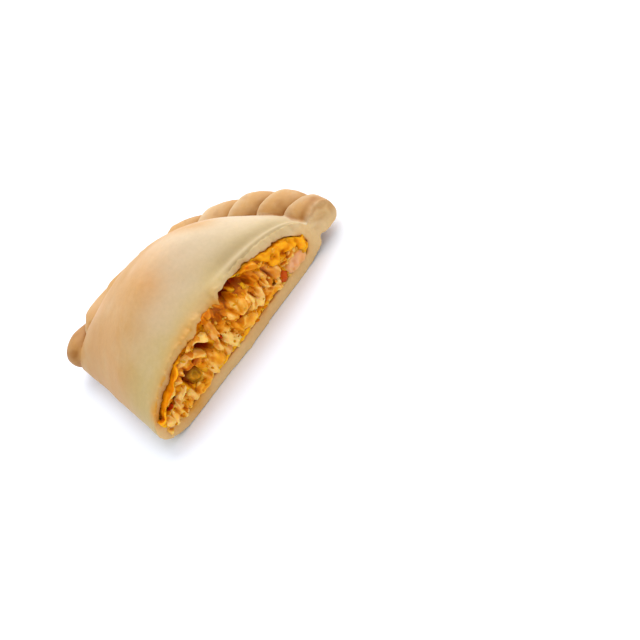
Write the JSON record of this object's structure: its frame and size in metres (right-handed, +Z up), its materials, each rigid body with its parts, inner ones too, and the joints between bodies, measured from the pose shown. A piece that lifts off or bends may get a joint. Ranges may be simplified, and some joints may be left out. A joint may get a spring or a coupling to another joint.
{
  "type": "cheeseburger empanada",
  "caption": "Half of a baked empanada, cut across: a domed dough shell with a rope-crimped seam, open at the cut on a crumbly meat and cheese filling.",
  "frame": {"origin": "middle of the underside's box, on the table", "axes": "+X from the fold of the dough to the crimped seam, +Y from the cut face to the tip, +Z up"},
  "size_m": [0.0766, 0.0632, 0.0289],
  "materials": {
    "crust": "baked wheat dough, satin, pale gold with browner rim",
    "filling": "moist minced meat in melted cheese"
  },
  "bodies": {
    "root": {"crust": "crust", "filling": "filling"}
  },
  "joints": []
}
